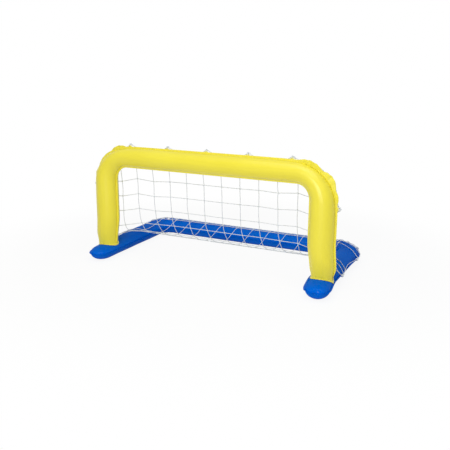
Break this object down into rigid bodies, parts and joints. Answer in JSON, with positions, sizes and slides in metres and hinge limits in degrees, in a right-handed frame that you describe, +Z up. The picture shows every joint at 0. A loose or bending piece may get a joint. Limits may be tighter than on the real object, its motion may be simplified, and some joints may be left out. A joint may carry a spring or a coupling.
{
  "type": "inflatable water polo goal",
  "caption": "Pool goal: inflated arch on an inflated U-shaped base, slack cord net tied along the welded seams, push-in inflation valves.",
  "frame": {"origin": "middle of the footprint, on the ground under the goal", "axes": "+Z up, mouth faces -Y, +X to the right seen from the front"},
  "size_m": [1.4478, 0.8424, 0.6614],
  "materials": {
    "yellow_vinyl": "satin soft vinyl film",
    "blue_vinyl": "glossy soft vinyl film",
    "white_cord": "twisted synthetic cord",
    "clear_vinyl": "milky soft vinyl"
  },
  "bodies": {
    "goal": {"goal_arch": "yellow_vinyl", "base_frame": "blue_vinyl", "weld_lip_left": "yellow_vinyl", "weld_lip_right": "yellow_vinyl", "tie_tab_01": "yellow_vinyl", "net_tie_01": "white_cord", "tie_tab_02": "yellow_vinyl", "net_tie_02": "white_cord", "tie_tab_03": "yellow_vinyl", "net_tie_03": "white_cord", "tie_tab_04": "yellow_vinyl", "net_tie_04": "white_cord", "tie_tab_05": "yellow_vinyl", "net_tie_05": "white_cord", "tie_tab_06": "yellow_vinyl", "net_tie_06": "white_cord", "tie_tab_07": "blue_vinyl", "net_tie_07": "white_cord", "tie_tab_08": "blue_vinyl", "net_tie_08": "white_cord", "tie_tab_09": "blue_vinyl", "net_tie_09": "white_cord", "tie_tab_10": "yellow_vinyl", "net_tie_10": "white_cord", "tie_tab_11": "blue_vinyl", "net_tie_11": "white_cord", "tie_tab_12": "blue_vinyl", "net_tie_12": "white_cord", "tie_tab_13": "blue_vinyl", "net_tie_13": "white_cord", "tie_tab_14": "blue_vinyl", "net_tie_14": "white_cord", "tie_tab_15": "blue_vinyl", "net_tie_15": "white_cord", "tie_tab_16": "blue_vinyl", "net_tie_16": "white_cord", "tie_tab_17": "blue_vinyl", "net_tie_17": "white_cord", "arch_valve_seat": "clear_vinyl", "base_valve_seat": "clear_vinyl", "net_top": "white_cord", "net_back": "white_cord", "net_fold": "white_cord", "net_ground": "white_cord", "net_rear": "white_cord", "net_post_left": "white_cord", "net_foot_left": "white_cord", "net_side_left": "white_cord", "net_post_right": "white_cord", "net_foot_right": "white_cord", "net_side_right": "white_cord"},
    "arch_stem": {"arch_valve_stem": "clear_vinyl"},
    "arch_cap": {"arch_valve_cap": "clear_vinyl"},
    "base_stem": {"base_valve_stem": "clear_vinyl"},
    "base_cap": {"base_valve_cap": "clear_vinyl"}
  },
  "joints": [
    {"name": "arch_stem_slide", "type": "slide", "parent": "goal", "child": "arch_stem", "axis": [0, 1, 0], "range_m": [0, 0.01]},
    {"name": "arch_cap_hinge", "type": "hinge", "parent": "arch_stem", "child": "arch_cap", "pos_m": [0.637, -0.19355, 0.216], "axis": [1, 0, 0], "range_deg": [0, 150]},
    {"name": "base_stem_slide", "type": "slide", "parent": "goal", "child": "base_stem", "axis": [0, 0.7145, 0.6996], "range_m": [0, 0.01]},
    {"name": "base_cap_hinge", "type": "hinge", "parent": "base_stem", "child": "base_cap", "pos_m": [-0.009, 0.38903, 0.07218], "axis": [0, -0.6996, 0.7145], "range_deg": [0, 150]}
  ]
}
